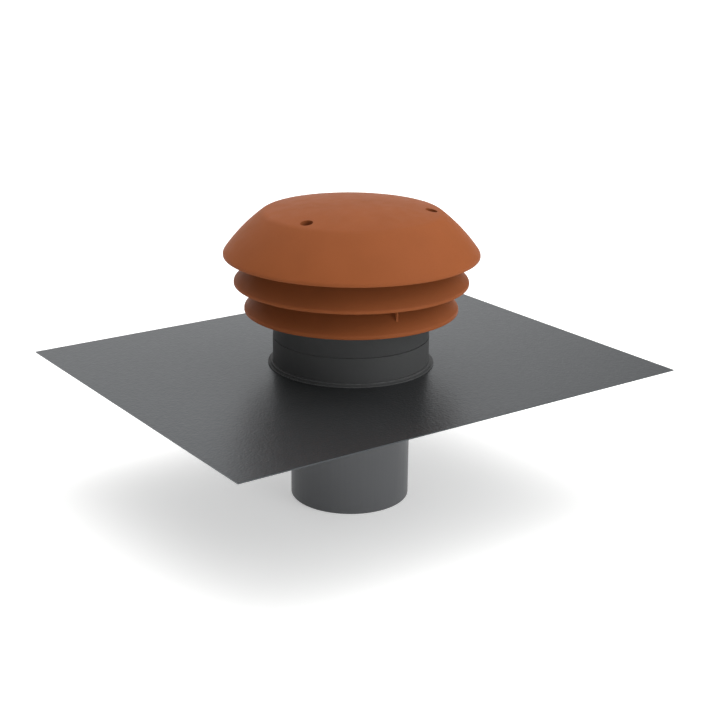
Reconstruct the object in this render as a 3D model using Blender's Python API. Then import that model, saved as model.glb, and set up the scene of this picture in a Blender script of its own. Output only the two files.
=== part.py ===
"""Roof vent cap: a moulded cap and two louvre rings on a round collar, a flashing sheet and a spigot.

Metres, +Z up. The origin is the centre of the spigot's lower rim, on which the part stands. The
flashing sheet's long side runs along X. Air rises through the spigot and leaves between the rings.
"""

import math

import bmesh
import bpy
import numpy as np
from mathutils import Matrix, Vector

MM = 0.001

# Room between pieces that touch, and the number of flats round a turned piece
CLEARANCE = 0.3 * MM
SIDES = 60
SMALL_SIDES = 16

# Flashing sheet
SHEET_LENGTH = 500 * MM
SHEET_WIDTH = 400 * MM
SHEET_THICKNESS = 1.0 * MM
SHEET_UNDERSIDE = 140.0 * MM
SHEET_HOLE_RADIUS = 60.6 * MM

# Spigot pipe
PIPE_RADIUS = 59.9 * MM
PIPE_WALL = 3.0 * MM
PIPE_HEIGHT = 205.0 * MM
PIPE_CHAMFER = 0.8 * MM

# Base collar, from its flat underside on the sheet up to the fine seam
COLLAR_BASE = SHEET_UNDERSIDE + SHEET_THICKNESS + CLEARANCE
COLLAR_RADIUS = 77.7 * MM
COLLAR_HEIGHT = 27.5 * MM
COLLAR_WALL = 3.0 * MM
COLLAR_WEB = 2.7 * MM
COLLAR_BORE = PIPE_RADIUS + CLEARANCE
BEAD_RADIUS = 82.5 * MM
BEAD_HEIGHT = 0.8 * MM
FOOT_RADIUS = 79.9 * MM
FOOT_HEIGHT = 3.1 * MM

# Collar sleeve: a plug inside the base collar and the wall that shows above the seam
SLEEVE_RADIUS = 77.3 * MM
SLEEVE_WALL = 3.0 * MM
PLUG_WALL = 2.5 * MM
SEAM_GAP = 0.3 * MM
SLEEVE_SWAGE = 2.0 * MM

# What the cap and the two louvre rings have in common
MOULDED_WALL = 2.5 * MM
LIP_HEIGHT = 2.7 * MM
LIP_ROUNDING = 1.2 * MM
RING_SLOPE = math.radians(42)
SHOULDER_RADIUS = 86.0 * MM
SHOULDER_ROUNDING = 3.0 * MM
SHELF_BORE = 68.0 * MM

# Louvre rings
LOWER_RIM_RADIUS = 105.6 * MM
LOWER_RIM_HEIGHT = 196.7 * MM
LOWER_LIP_EXTRA = 0.5 * MM
UPPER_RIM_RADIUS = 115.5 * MM
UPPER_RIM_HEIGHT = 223.6 * MM
LOCATING_RIM_WALL = 2.2 * MM
LOCATING_RIM_DEPTH = 8.0 * MM

# Cap
CAP_RIM_RADIUS = 125.5 * MM
CAP_RIM_HEIGHT = 251.6 * MM
CREASE_RADIUS = 87.2 * MM
CREASE_RISE = 42.2 * MM
CREASE_ROUNDING = 5.0 * MM
SKIRT_BULGE = 2.2 * MM
SKIRT_STEPS = 3
CROWN_RISE = 10.1 * MM
CROWN_STEPS = 3

# Screw holes, their bosses and posts, and the spacer fins halfway between them
HOLE_CIRCLE = 76.4 * MM
HOLE_RADIUS = 6.0 * MM
SCREW_RADIUS = 2.6 * MM
SCREW_SEAT = 9.0 * MM
BOSS_RADIUS = 8.2 * MM
POST_RADIUS = 7.0 * MM
PILOT_DEPTH = 26.0 * MM
PILOT_RADIUS = 2.1 * MM
FIRST_HOLE_ANGLE = math.radians(81.4)
HOLE_COUNT = 3
FIN_INNER = 92.0 * MM
FIN_OUTER = 95.8 * MM
FIN_THICKNESS = 2.2 * MM
FIN_ROOT = 1.2 * MM
FIN_HEADROOM = 0.4 * MM

HOLE_ANGLES = [FIRST_HOLE_ANGLE + math.tau * i / HOLE_COUNT for i in range(HOLE_COUNT)]
FIN_ANGLES = [angle + math.pi / HOLE_COUNT for angle in HOLE_ANGLES]

# How far a cutter runs past what it cuts
OVERRUN = 5.0 * MM


def clear_scene():
    """Remove whatever the file holds."""
    for item in list(bpy.data.objects):
        bpy.data.objects.remove(item, do_unlink=True)


# Outlines: lists of (radius, height) points, from the rim upwards or inwards

def rounded(outline, index, reach, steps):
    """The outline with one corner replaced by a curve that starts and ends at reach from it."""
    corner = Vector(outline[index])
    start = corner + (Vector(outline[index - 1]) - corner).normalized() * reach
    end = corner + (Vector(outline[index + 1]) - corner).normalized() * reach
    curve = []
    for step in range(steps + 1):
        t = step / steps
        curve.append(tuple(start * (1 - t) ** 2 + corner * 2 * t * (1 - t) + end * t ** 2))
    return outline[:index] + curve + outline[index + 1:]


def inset(outline, distance):
    """The outline moved by a wall's thickness to the left of its own way, with mitred corners."""
    points = [Vector(point) for point in outline]
    ways = [(after - before).normalized() for before, after in zip(points, points[1:])]
    moved = []
    for index, point in enumerate(points):
        way_in = ways[max(index - 1, 0)]
        way_out = ways[min(index, len(ways) - 1)]
        side_in = Vector((-way_in.y, way_in.x))
        side_out = Vector((-way_out.y, way_out.x))
        mitre = side_in + side_out
        mitre *= distance * 2 / mitre.length_squared
        radius = 0.0 if point.x == 0.0 else point.x + mitre.x
        moved.append((radius, point.y + mitre.y))
    return moved


def height_at(outline, radius):
    """Height of an outline over one radius."""
    inwards = sorted(outline)
    return float(np.interp(radius, [r for r, _ in inwards], [z for _, z in inwards]))


def bulged_line(start, end, bulge, steps):
    """Points from start to just before end, on an arc that stands out to the right by bulge."""
    way = Vector(end) - Vector(start)
    side = Vector((way.y, -way.x)).normalized()
    points = []
    for step in range(steps):
        t = step / steps
        points.append(tuple(Vector(start) + way * t + side * (4 * bulge * t * (1 - t))))
    return points


def crown_arc(edge_radius, rise, steps):
    """The shallow dome from its edge to the apex, measured up from the edge."""
    sphere = (edge_radius ** 2 + rise ** 2) / (2 * rise)
    points = []
    for step in range(steps + 1):
        radius = edge_radius * (1 - step / steps)
        points.append((radius, rise - sphere + math.sqrt(sphere ** 2 - radius ** 2)))
    return points


def cap_outline():
    """Outside of the cap from its rim to the apex, with sharp corners, measured up from the rim."""
    lip_top = (CAP_RIM_RADIUS, LIP_HEIGHT)
    skirt = bulged_line(lip_top, (CREASE_RADIUS, CREASE_RISE), SKIRT_BULGE, SKIRT_STEPS)
    crown = [(r, z + CREASE_RISE) for r, z in crown_arc(CREASE_RADIUS, CROWN_RISE, CROWN_STEPS)]
    return [(CAP_RIM_RADIUS, 0.0)] + skirt + crown


def softened_cap_outline():
    """Outside of the cap with its rounded crease and lip."""
    outline = rounded(cap_outline(), 1 + SKIRT_STEPS, CREASE_ROUNDING, 2)
    return rounded(outline, 1, LIP_ROUNDING, 1)


def ring_outline(rim_radius, lip_extra=0.0):
    """Top of a louvre ring, with sharp corners, from its rim to the bore of its shelf."""
    shelf_height = LIP_HEIGHT + (rim_radius - SHOULDER_RADIUS) * math.tan(RING_SLOPE)
    return [
        (rim_radius, -lip_extra),
        (rim_radius, LIP_HEIGHT),
        (SHOULDER_RADIUS, shelf_height),
        (SHELF_BORE, shelf_height),
    ]


def softened_ring_outline(rim_radius, lip_extra=0.0):
    """Top of a louvre ring with its rounded shoulder and lip."""
    outline = rounded(ring_outline(rim_radius, lip_extra), 2, SHOULDER_ROUNDING, 1)
    return rounded(outline, 1, LIP_ROUNDING, 1)


# Meshes and objects

def spin_outline(points, sides, closed):
    """A turned body from its outline, closed in itself or ending on the axis at both ends."""
    body = bmesh.new()
    vertices = [body.verts.new((radius, 0.0, height)) for radius, height in points]
    edges = [body.edges.new(pair) for pair in zip(vertices, vertices[1:])]
    if closed:
        edges.append(body.edges.new((vertices[-1], vertices[0])))
    bmesh.ops.spin(
        body,
        geom=vertices + edges,
        cent=(0.0, 0.0, 0.0),
        axis=(0.0, 0.0, 1.0),
        angle=math.tau,
        steps=sides,
        use_merge=True,
    )
    bmesh.ops.remove_doubles(body, verts=body.verts, dist=1e-6)
    bmesh.ops.recalc_face_normals(body, faces=body.faces)
    return body


def add_turned_pin(body, points, angle):
    """Add a small turned body on the hole circle, at one angle round the axis."""
    pin = spin_outline(points, SMALL_SIDES, closed=False)
    place = Matrix.Rotation(angle, 4, "Z") @ Matrix.Translation((HOLE_CIRCLE, 0.0, 0.0))
    bmesh.ops.transform(pin, matrix=place, verts=pin.verts)
    append_body(body, pin)


def append_body(body, other):
    """Add a second body to the first one and free it."""
    carrier = bpy.data.meshes.new("carrier")
    other.to_mesh(carrier)
    other.free()
    body.from_mesh(carrier)
    bpy.data.meshes.remove(carrier)


def pin_outline(radius, low, high):
    """Outline of a plain round pin between two heights."""
    return [(0.0, low), (radius, low), (radius, high), (0.0, high)]


def new_object(name, body, parent, base_height=0.0, material=None):
    """An object from a bmesh, shaded smooth but for its edges, standing at its base height."""
    mesh = bpy.data.meshes.new(name)
    body.to_mesh(mesh)
    body.free()
    mesh.shade_smooth()
    mesh.set_sharp_from_angle(angle=math.radians(35))
    item = bpy.data.objects.new(name, mesh)
    bpy.context.collection.objects.link(item)
    item.parent = parent
    item.location.z = base_height
    if material:
        mesh.materials.append(material)
    return item


def combine(target, tool, operation):
    """Cut or join a helper body with a Boolean modifier, and keep the helper out of sight."""
    modifier = target.modifiers.new(tool.name, "BOOLEAN")
    modifier.operation = operation
    modifier.solver = "EXACT"
    modifier.object = tool
    tool.hide_render = True
    tool.display_type = "WIRE"


# Materials

def linear(channel):
    """One 0 to 255 display colour channel as a linear value."""
    value = channel / 255
    if value <= 0.04045:
        return value / 12.92
    return ((value + 0.055) / 1.055) ** 2.4


def make_material(name, colour, roughness, metallic=0.0):
    """A plain surface from a display colour."""
    material = bpy.data.materials.new(name)
    material.use_nodes = True
    shader = material.node_tree.nodes["Principled BSDF"]
    shader.inputs["Base Color"].default_value = (*[linear(c) for c in colour], 1.0)
    shader.inputs["Roughness"].default_value = roughness
    shader.inputs["Metallic"].default_value = metallic
    return material


def terracotta_plastic(name):
    """Matt terracotta-coloured moulded plastic."""
    return make_material(name, (172, 100, 68), 0.62)


def dark_plastic(name):
    """Matt dark grey moulded plastic."""
    return make_material(name, (62, 64, 65), 0.55)


# Pieces

def make_spigot_pipe(root):
    """The duct spigot, open at both ends, with a small chamfer on its lower rim."""
    outline = [
        (PIPE_RADIUS - PIPE_WALL, 0.0),
        (PIPE_RADIUS - PIPE_CHAMFER, 0.0),
        (PIPE_RADIUS, PIPE_CHAMFER),
        (PIPE_RADIUS, PIPE_HEIGHT),
        (PIPE_RADIUS - PIPE_WALL, PIPE_HEIGHT),
    ]
    material = make_material("mid_grey_pipe", (104, 106, 110), 0.5)
    return new_object("spigot_pipe", spin_outline(outline, SIDES, True), root, material=material)


def make_flashing_sheet(root):
    """The thin flashing sheet with the round hole that the spigot passes through."""
    plate = bmesh.new()
    bmesh.ops.create_cube(plate, size=1.0)
    bmesh.ops.scale(plate, vec=(SHEET_LENGTH, SHEET_WIDTH, SHEET_THICKNESS), verts=plate.verts)
    bmesh.ops.translate(plate, vec=(0.0, 0.0, SHEET_THICKNESS / 2), verts=plate.verts)
    material = make_material("coated_sheet", (88, 90, 90), 0.35, metallic=0.2)
    sheet = new_object("flashing_sheet", plate, root, SHEET_UNDERSIDE, material)
    hole_outline = pin_outline(SHEET_HOLE_RADIUS, -OVERRUN, SHEET_THICKNESS + OVERRUN)
    hole = new_object("sheet_hole", spin_outline(hole_outline, SIDES, False), sheet)
    combine(sheet, hole, "DIFFERENCE")
    return sheet


def make_base_collar(root):
    """The lower part of the collar: a stepped foot, the wall, and the web that grips the spigot."""
    outline = [
        (COLLAR_BORE, 0.0),
        (BEAD_RADIUS, 0.0),
        (BEAD_RADIUS, BEAD_HEIGHT),
        (FOOT_RADIUS, BEAD_HEIGHT),
        (FOOT_RADIUS, FOOT_HEIGHT),
        (COLLAR_RADIUS, FOOT_HEIGHT),
        (COLLAR_RADIUS, COLLAR_HEIGHT),
        (COLLAR_RADIUS - COLLAR_WALL, COLLAR_HEIGHT),
        (COLLAR_RADIUS - COLLAR_WALL, COLLAR_WEB),
        (COLLAR_BORE, COLLAR_WEB),
    ]
    body = spin_outline(outline, SIDES, True)
    return new_object("base_collar", body, root, COLLAR_BASE, dark_plastic("collar_plastic"))


def make_collar_sleeve(root, sleeve_top):
    """The upper part of the collar: it plugs into the base collar and carries the lower ring."""
    base_height = COLLAR_BASE + COLLAR_WEB + CLEARANCE
    seam = COLLAR_BASE + COLLAR_HEIGHT + SEAM_GAP - base_height
    top = sleeve_top - base_height
    plug_radius = COLLAR_RADIUS - COLLAR_WALL - CLEARANCE
    outline = [
        (plug_radius - PLUG_WALL, 0.0),
        (plug_radius, 0.0),
        (plug_radius, seam),
        (SLEEVE_RADIUS, seam),
        (SLEEVE_RADIUS, top),
        (SLEEVE_RADIUS - SLEEVE_WALL, top),
        (SLEEVE_RADIUS - SLEEVE_WALL, seam + SLEEVE_SWAGE),
        (plug_radius - PLUG_WALL, seam),
    ]
    body = spin_outline(outline, SIDES, True)
    return new_object("collar_sleeve", body, root, base_height, dark_plastic("sleeve_plastic"))


def add_fins(body, top_outline, ceiling_outline, ceiling_height):
    """Add three short spacer fins, rooted in a ring's skirt, that reach the piece above it."""
    radii = (FIN_INNER, FIN_OUTER)
    feet = [(r, height_at(top_outline, r) - FIN_ROOT) for r in radii]
    heads = [(r, height_at(ceiling_outline, r) + ceiling_height - FIN_HEADROOM) for r in radii]
    for angle in FIN_ANGLES:
        fin = bmesh.new()
        corners = [fin.verts.new((r, -FIN_THICKNESS / 2, z)) for r, z in feet + heads[::-1]]
        side = fin.faces.new(corners)
        grown = bmesh.ops.extrude_face_region(fin, geom=[side])
        far_side = [item for item in grown["geom"] if isinstance(item, bmesh.types.BMVert)]
        bmesh.ops.translate(fin, vec=(0.0, FIN_THICKNESS, 0.0), verts=far_side)
        bmesh.ops.recalc_face_normals(fin, faces=fin.faces)
        bmesh.ops.transform(fin, matrix=Matrix.Rotation(angle, 4, "Z"), verts=fin.verts)
        append_body(body, fin)


def make_lower_ring(root):
    """The lower louvre ring, with its locating rim, the posts for the upper ring and the fins."""
    top = ring_outline(LOWER_RIM_RADIUS, LOWER_LIP_EXTRA)
    underside = inset(top, MOULDED_WALL)
    shelf_top = top[-1][1]
    shelf_underside = underside[-1][1]
    rim_outer = SLEEVE_RADIUS - SLEEVE_WALL - CLEARANCE
    rim_inner = rim_outer - LOCATING_RIM_WALL
    locating_rim = [
        (rim_inner, shelf_underside),
        (rim_inner, shelf_underside - LOCATING_RIM_DEPTH),
        (rim_outer, shelf_underside - LOCATING_RIM_DEPTH),
        (rim_outer, shelf_underside),
    ]
    outside = softened_ring_outline(LOWER_RIM_RADIUS, LOWER_LIP_EXTRA)
    outline = outside + [underside[-1]] + locating_rim + underside[-2::-1]
    ring = new_object(
        "lower_louvre_ring",
        spin_outline(outline, SIDES, True),
        root,
        LOWER_RIM_HEIGHT,
        terracotta_plastic("lower_ring_plastic"),
    )

    ceiling = inset(ring_outline(UPPER_RIM_RADIUS), MOULDED_WALL)
    ceiling_height = UPPER_RIM_HEIGHT - LOWER_RIM_HEIGHT
    post_top = ceiling[-1][1] + ceiling_height - CLEARANCE
    stands = bmesh.new()
    for angle in HOLE_ANGLES:
        add_turned_pin(stands, pin_outline(POST_RADIUS, shelf_top - FIN_ROOT, post_top), angle)
    add_fins(stands, outside, ceiling, ceiling_height)
    combine(ring, new_object("lower_ring_stands", stands, ring), "UNION")

    pilots = bmesh.new()
    for angle in HOLE_ANGLES:
        pilot = pin_outline(PILOT_RADIUS, post_top - PILOT_DEPTH, post_top + OVERRUN)
        add_turned_pin(pilots, pilot, angle)
    combine(ring, new_object("lower_ring_pilots", pilots, ring), "DIFFERENCE")
    return ring


def make_upper_ring(root):
    """The upper louvre ring, with its screw holes and the fins for the cap."""
    top = ring_outline(UPPER_RIM_RADIUS)
    outside = softened_ring_outline(UPPER_RIM_RADIUS)
    outline = outside + inset(top, MOULDED_WALL)[::-1]
    ring = new_object(
        "upper_louvre_ring",
        spin_outline(outline, SIDES, True),
        root,
        UPPER_RIM_HEIGHT,
        terracotta_plastic("upper_ring_plastic"),
    )

    stands = bmesh.new()
    ceiling = inset(cap_outline(), MOULDED_WALL)
    add_fins(stands, outside, ceiling, CAP_RIM_HEIGHT - UPPER_RIM_HEIGHT)
    combine(ring, new_object("upper_ring_stands", stands, ring), "UNION")

    shelf_top = top[-1][1]
    holes = bmesh.new()
    for angle in HOLE_ANGLES:
        hole = pin_outline(SCREW_RADIUS, shelf_top - MOULDED_WALL - OVERRUN, shelf_top + OVERRUN)
        add_turned_pin(holes, hole, angle)
    combine(ring, new_object("upper_ring_holes", holes, ring), "DIFFERENCE")
    return ring


def make_cap(root):
    """The hollow cap: its bosses are what the hollow leaves standing round the screw holes."""
    cap = new_object(
        "cap_dome",
        spin_outline([(0.0, 0.0)] + softened_cap_outline(), SIDES, False),
        root,
        CAP_RIM_HEIGHT,
        terracotta_plastic("cap_plastic"),
    )

    ring_shelf = ring_outline(UPPER_RIM_RADIUS)[-1][1] + UPPER_RIM_HEIGHT
    boss_foot = ring_shelf + CLEARANCE - CAP_RIM_HEIGHT
    crown_top = CREASE_RISE + CROWN_RISE
    inside = inset(cap_outline(), MOULDED_WALL)
    hollow_outline = [(0.0, -OVERRUN), (inside[0][0], -OVERRUN)] + inside[1:]
    hollow = new_object("cap_hollow", spin_outline(hollow_outline, SIDES, False), cap)
    bosses = bmesh.new()
    bores = bmesh.new()
    seat = boss_foot + SCREW_SEAT
    bore_outline = [
        (0.0, boss_foot - OVERRUN),
        (SCREW_RADIUS, boss_foot - OVERRUN),
        (SCREW_RADIUS, seat),
        (HOLE_RADIUS, seat),
        (HOLE_RADIUS, crown_top + OVERRUN),
        (0.0, crown_top + OVERRUN),
    ]
    for angle in HOLE_ANGLES:
        add_turned_pin(bosses, pin_outline(BOSS_RADIUS, boss_foot, crown_top + OVERRUN), angle)
        add_turned_pin(bores, bore_outline, angle)
    combine(hollow, new_object("cap_bosses", bosses, cap), "DIFFERENCE")
    combine(cap, hollow, "DIFFERENCE")
    combine(cap, new_object("cap_bores", bores, cap), "DIFFERENCE")
    return cap


def main():
    """Build the whole part under one empty at the origin."""
    clear_scene()
    root = bpy.data.objects.new("roof_vent_cap", None)
    bpy.context.collection.objects.link(root)
    lower_shelf_underside = inset(ring_outline(LOWER_RIM_RADIUS), MOULDED_WALL)[-1][1]
    make_spigot_pipe(root)
    make_flashing_sheet(root)
    make_base_collar(root)
    make_collar_sleeve(root, LOWER_RIM_HEIGHT + lower_shelf_underside - CLEARANCE)
    make_lower_ring(root)
    make_upper_ring(root)
    make_cap(root)


main()
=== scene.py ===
"""Roof vent cap: the finish of its pieces, built round the frame of its solids.

The file is laid out as an add-on. Property groups hold the sizes and colours that a user would change,
one operator makes each group of like pieces, and a panel in the 3D view's sidebar lists them.
Metres, +Z up. The origin is the centre of the spigot's lower rim, on which the part stands.
"""

import math

import bmesh
import bpy
from bpy.props import FloatProperty, FloatVectorProperty, IntProperty, PointerProperty
from bpy.types import Operator, Panel, PropertyGroup
from mathutils import Matrix, Vector, noise


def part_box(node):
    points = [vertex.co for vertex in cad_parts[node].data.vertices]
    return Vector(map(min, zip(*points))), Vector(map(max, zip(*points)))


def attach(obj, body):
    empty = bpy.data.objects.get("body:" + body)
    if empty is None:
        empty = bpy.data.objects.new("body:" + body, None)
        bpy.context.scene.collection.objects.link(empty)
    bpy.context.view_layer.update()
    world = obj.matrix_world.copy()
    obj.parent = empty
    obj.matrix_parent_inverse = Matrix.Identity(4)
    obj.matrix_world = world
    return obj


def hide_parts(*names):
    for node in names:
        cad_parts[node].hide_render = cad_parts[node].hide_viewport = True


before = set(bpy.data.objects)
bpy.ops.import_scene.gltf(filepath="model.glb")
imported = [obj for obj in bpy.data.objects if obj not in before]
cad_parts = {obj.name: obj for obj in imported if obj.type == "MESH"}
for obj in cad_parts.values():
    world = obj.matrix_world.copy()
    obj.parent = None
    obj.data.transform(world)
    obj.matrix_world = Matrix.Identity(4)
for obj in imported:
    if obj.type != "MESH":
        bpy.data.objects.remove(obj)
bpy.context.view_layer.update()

bl_info = {
    "name": "Roof Vent Cap",
    "version": (1, 0, 0),
    "blender": (4, 5, 0),
    "location": "View3D > Sidebar > Roof Vent",
    "description": "Builds the finished pieces of a roof vent cap and their stage",
    "category": "Object",
}

MM = 0.001
BODY = "root"

# Points and heights that differ by less than this are the same
TINY = 0.001 * MM

# Play between two pieces that fit together
CLEARANCE = 0.3 * MM

# The collar's wall, which the rings' locating rim is sized from too
COLLAR_WALL = 3.0 * MM

CAP_LOW, CAP_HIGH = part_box("cap_dome")
UPPER_LOW, UPPER_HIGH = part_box("upper_louvre_ring")
LOWER_LOW, LOWER_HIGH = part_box("lower_louvre_ring")
SLEEVE_LOW, SLEEVE_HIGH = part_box("collar_sleeve")
COLLAR_LOW, COLLAR_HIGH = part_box("base_collar")
SHEET_LOW, SHEET_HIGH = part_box("flashing_sheet")
PIPE_LOW, PIPE_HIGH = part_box("spigot_pipe")


# Sizes and colours


def length(name, description, default):
    """A property for a length in metres."""
    return FloatProperty(name=name, description=description, default=default, min=0.0, unit="LENGTH")


def angle(name, description, degrees):
    """A property for an angle, given in degrees."""
    return FloatProperty(name=name, description=description, default=math.radians(degrees), unit="ROTATION")


def share(name, description, default):
    """A property for a value between nothing and all."""
    return FloatProperty(
        name=name, description=description, default=default, min=0.0, max=1.0, subtype="FACTOR"
    )


def colour(name, description, default):
    """A property for a linear colour."""
    return FloatVectorProperty(
        name=name, description=description, default=default, size=3, min=0.0, max=1.0, subtype="COLOR"
    )


class VentMouldingSizes(PropertyGroup):
    """Sizes of the cap and the two louvre rings."""

    wall: length("Wall", "Thickness of the moulded walls", 2.5 * MM)
    lip_height: length("Lip height", "Height of the upright lip at each rim", 2.7 * MM)
    lip_rounding: length("Lip rounding", "Rounding where a lip meets its skirt", 1.3 * MM)
    rim_rounding: length("Rim rounding", "Rounding of the lowest edges", 0.5 * MM)
    lower_lip_extra: length("Lower lip depth", "How much deeper the lower ring's lip reaches", 0.5 * MM)
    ring_slope: angle("Ring slope", "Slope of the louvre rings' skirts", 42)
    shoulder_radius: length("Shoulder radius", "Where a ring's skirt meets its shelf", 86.0 * MM)
    shoulder_rounding: length("Shoulder rounding", "Softness of a ring's shoulder", 3.0 * MM)
    shelf_bore: length("Shelf bore", "Radius of the opening in a ring's shelf", 68.0 * MM)
    locating_wall: length("Locating rim wall", "Thickness of the rim that centres a ring", 2.2 * MM)
    locating_depth: length("Locating rim depth", "Depth of the rim that centres a ring", 8.0 * MM)
    locating_radius: length(
        "Locating rim radius",
        "Outside of the rim that centres a ring",
        SLEEVE_HIGH.x - COLLAR_WALL - CLEARANCE,
    )
    crease_radius: length("Crease radius", "Where the cap's skirt meets its crown", 87.2 * MM)
    crease_rounding: length("Crease rounding", "Softness of the cap's crease", 3.0 * MM)
    crown_rise: length("Crown rise", "Height of the crown above the crease", 10.1 * MM)
    skirt_bulge: length("Skirt bulge", "How far the cap's skirt stands out from a cone", 2.2 * MM)


class VentFasteningSizes(PropertyGroup):
    """Sizes of the screw holes, their bosses and posts, and the spacer fins."""

    hole_circle: length("Hole circle", "Radius of the circle the screw holes sit on", 76.4 * MM)
    hole_radius: length("Hole radius", "Radius of a screw hole in the crown", 6.0 * MM)
    hole_rounding: length("Hole rounding", "Rounding of a screw hole's mouth", 0.15 * MM)
    screw_radius: length("Screw clearance", "Radius of the passage for the screw", 2.6 * MM)
    seat_height: length("Seat height", "Height of the screw's seat above the boss's foot", 9.0 * MM)
    boss_radius: length("Boss radius", "Outside of the boss round a screw hole", 8.2 * MM)
    post_radius: length("Post radius", "Outside of a post on the lower ring", 7.0 * MM)
    pilot_radius: length("Pilot radius", "Radius of the pilot hole in a post", 2.1 * MM)
    pilot_depth: length("Pilot depth", "Depth of the pilot hole in a post", 26.0 * MM)
    first_angle: angle("First hole", "Angle of the first screw hole round the axis", 81.4)
    count: IntProperty(name="Holes", description="Screw holes and fins on each ring", default=3, min=1)
    fin_inner: length("Fin inner radius", "Where a spacer fin begins", 92.0 * MM)
    fin_outer: length("Fin outer radius", "Where a spacer fin ends", 95.8 * MM)
    fin_thickness: length("Fin thickness", "Thickness of a spacer fin", 2.2 * MM)
    fin_root: length("Fin root", "How deep a fin or post is rooted in its ring", 1.2 * MM)
    fin_headroom: length("Fin headroom", "Room between a fin and the piece above it", 0.4 * MM)


class VentCollarSizes(PropertyGroup):
    """Sizes of the collar, its bead and its seam, and of the spigot."""

    wall: length("Wall", "Thickness of the collar's wall", COLLAR_WALL)
    web: length("Web", "Thickness of the web that grips the spigot", 2.7 * MM)
    bore: length("Web bore", "Radius of the hole in the web", PIPE_HIGH.x + CLEARANCE)
    radius: length("Collar radius", "Outside of the lower collar's wall", 77.7 * MM)
    edge_rounding: length("Edge rounding", "Rounding of the edges at the seam", 0.15 * MM)
    sheet_gap: length("Sheet gap", "Gap between the collar and the sheet under it", 0.05 * MM)
    bead_height: length("Bead height", "Height of the outer bead", 0.8 * MM)
    bead_rounding: length("Bead rounding", "Rounding of the outer bead's upper edge", 0.45 * MM)
    foot_radius: length("Foot radius", "Outside of the foot inside the bead", 79.9 * MM)
    foot_height: length("Foot height", "Height of the foot inside the bead", 3.1 * MM)
    foot_rounding: length("Foot rounding", "Rounding of the foot's upper edge", 0.9 * MM)
    plug_wall: length("Plug wall", "Thickness of the sleeve's plug", 2.5 * MM)
    seam_gap: length("Seam gap", "Least height of the seam between collar and sleeve", 0.03 * MM)
    seam_opening: length("Seam opening", "How much further the seam opens at one side", 0.6 * MM)
    seam_side: angle("Seam side", "Where round the axis the seam is open", -35)
    swage: length("Swage", "Height over which the plug widens into the sleeve", 2.0 * MM)
    pipe_wall: length("Pipe wall", "Thickness of the spigot's wall", 3.0 * MM)
    pipe_chamfer: length("Pipe chamfer", "Chamfer on the spigot's lower rim", 0.8 * MM)


class VentSheetSizes(PropertyGroup):
    """Sizes of the flashing sheet's hole and of its embossed grain."""

    hole_radius: length("Hole radius", "Radius of the hole for the spigot", 60.6 * MM)
    covered_radius: length("Covered radius", "Inside this the collar hides the sheet", 76.0 * MM)
    grid_step: length("Grid step", "Spacing of the points that carry the embossed relief", 1.7 * MM)
    pebble: length("Pebble", "Width of one pebble of the embossed relief", 6.0 * MM)
    pebble_depth: length("Pebble depth", "Depth of the embossed relief", 0.03 * MM)
    grain_width: length("Grain width", "Width of the fine grain on the coating", 2.2 * MM)
    grain_depth: length("Grain depth", "Depth of the fine grain on the coating", 0.13 * MM)


class VentColours(PropertyGroup):
    """Colours and gloss of the four finishes."""

    terracotta: colour("Terracotta", "The cap and the rings", (0.2710, 0.0800, 0.0272))
    # Painted on convex edges: partly wear, partly a painted highlight where rounded edges catch the light
    terracotta_pale: colour(
        "Rubbed terracotta", "The cap and the rings where edges are rubbed", (0.30, 0.095, 0.041)
    )
    terracotta_roughness: share("Terracotta roughness", "Roughness of the mouldings", 0.52)
    terracotta_shine: share("Terracotta shine", "How much the mouldings reflect", 0.04)
    collar: colour("Collar grey", "The collar and its sleeve", (0.0815, 0.0834, 0.0842))
    # Painted on the collar's convex edges: partly wear, partly a painted highlight on the bead and seam
    # edges
    collar_pale: colour("Rubbed collar grey", "The collar where edges are rubbed", (0.150, 0.155, 0.157))
    collar_roughness: share("Collar roughness", "Roughness of the collar", 0.46)
    collar_shine: share("Collar shine", "How much the collar reflects", 0.05)
    sheet: colour("Sheet grey", "The coated sheet", (0.0208, 0.0212, 0.0216))
    sheet_tint: colour("Sheet reflection", "Tint of what the coating reflects", (0.78, 0.90, 1.0))
    sheet_roughness: share("Sheet roughness", "Roughness of the coating", 0.345)
    sheet_shine: share("Sheet shine", "How much the coating reflects", 0.68)
    pipe: colour("Pipe grey", "The spigot", (0.112, 0.1152, 0.1205))
    # Painted on the spigot's rim edges: partly wear, partly a painted highlight
    pipe_pale: colour("Rubbed pipe grey", "The spigot where its rim is rubbed", (0.16, 0.165, 0.17))
    pipe_roughness: share("Pipe roughness", "Roughness of the spigot", 0.42)
    pipe_shine: share("Pipe shine", "How much the spigot reflects", 0.2)
    floor: colour("Floor", "The plain pale floor", (0.90, 0.90, 0.89))


class VentStage(PropertyGroup):
    """Where the camera stands and how strong the lights are."""

    camera_distance: length("Camera distance", "From the object's axis, along the floor", 1333.04 * MM)
    camera_height: length("Camera height", "Above the floor", 590.44 * MM)
    camera_bearing: angle("Camera bearing", "Where the camera stands round the object", -35.27)
    camera_yaw: angle("Camera yaw", "How far the view is turned off the axis", 0.118)
    camera_pitch: angle("Camera pitch", "How far the camera looks down", 18.343)
    camera_roll: angle("Camera roll", "How far the horizon falls to the right", 0.586)
    lens: FloatProperty(name="Lens", description="Focal length in millimetres", default=71.553, min=1.0)
    light: FloatProperty(name="Light", description="Strength of all the soft lights", default=1.0, min=0.0)
    floor_glow: share("Floor glow", "How much the floor is lit from below", 0.4)


# Outlines: lists of (radius, height, rounding) corners


def corner(radius, height, rounding=0.0):
    """One corner of a turned outline."""
    return (radius, height, rounding)


def moved(outline, rise):
    """The outline raised by a height."""
    return [corner(r, z + rise, rounding) for r, z, rounding in outline]


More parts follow.
